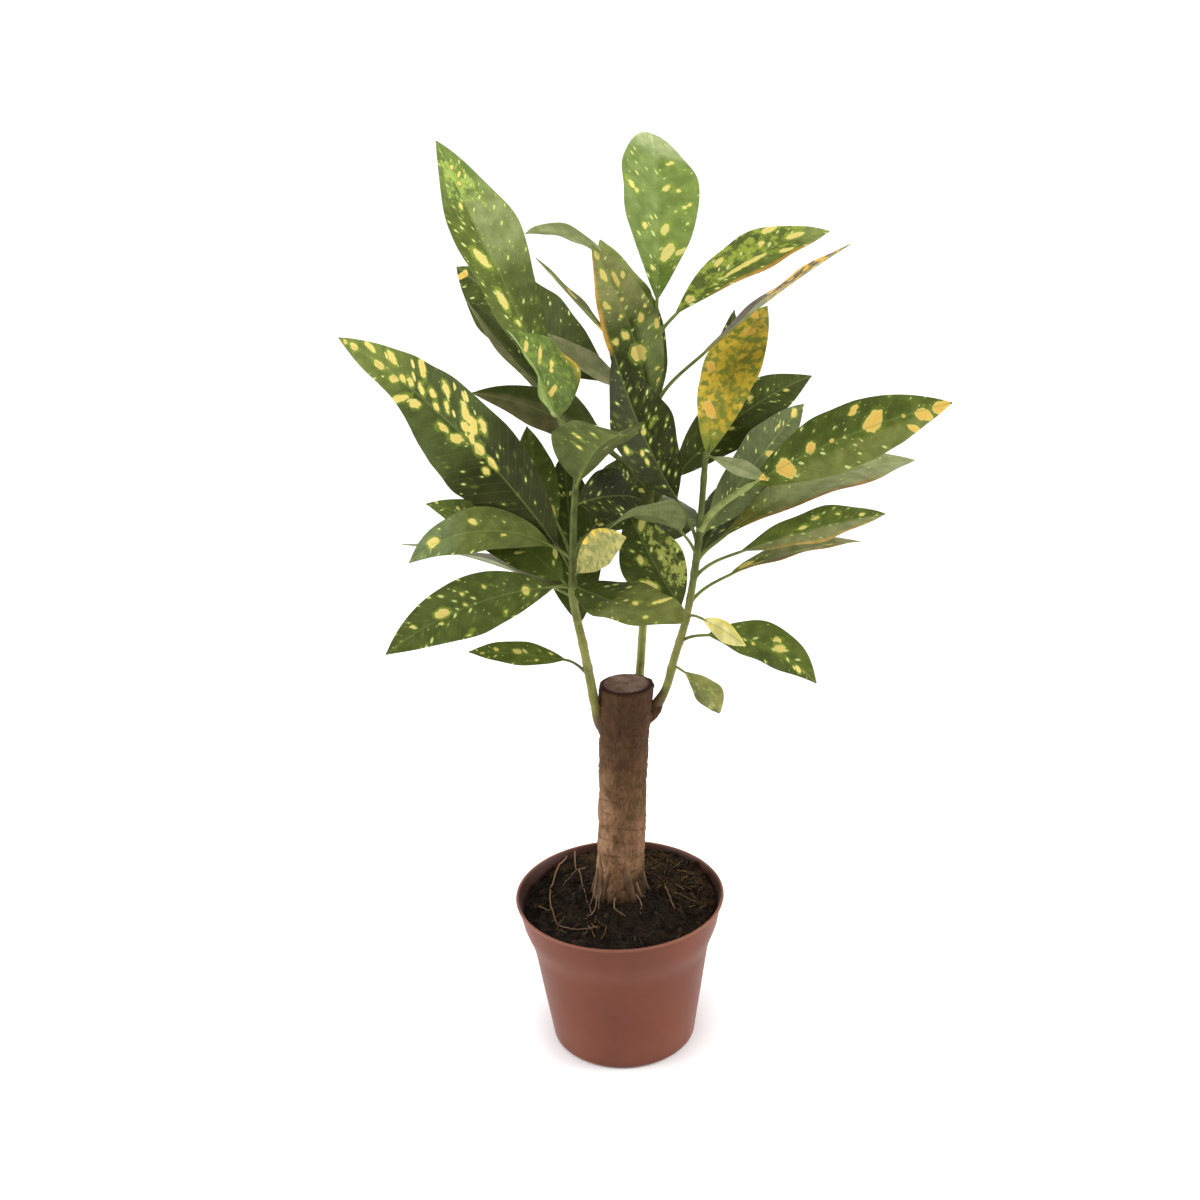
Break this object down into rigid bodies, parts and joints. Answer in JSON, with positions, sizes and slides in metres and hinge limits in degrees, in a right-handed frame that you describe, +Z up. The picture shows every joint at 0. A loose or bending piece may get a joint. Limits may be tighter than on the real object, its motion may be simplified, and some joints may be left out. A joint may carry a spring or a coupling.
{
  "type": "potted croton",
  "caption": "Potted croton: a cut woody trunk with leafy shoots of broad pointed leaves, standing in a round tapered pot filled with soil.",
  "frame": {"origin": "centre of the pot's underside, on the surface it stands on", "axes": "+Z up along the pot's axis, +Y away from the front that the plant is seen from, +X to the right of that view"},
  "size_m": [0.3248, 0.2201, 0.5124],
  "materials": {
    "pot": "satin",
    "soil": "matte",
    "bark": "matte",
    "leaves": "satin"
  },
  "bodies": {
    "root": {"pot": "pot", "soil": "soil", "trunk": "bark", "leafy_shoot_left": "leaves", "leafy_shoot_middle": "leaves", "leafy_shoot_right": "leaves"}
  },
  "joints": []
}
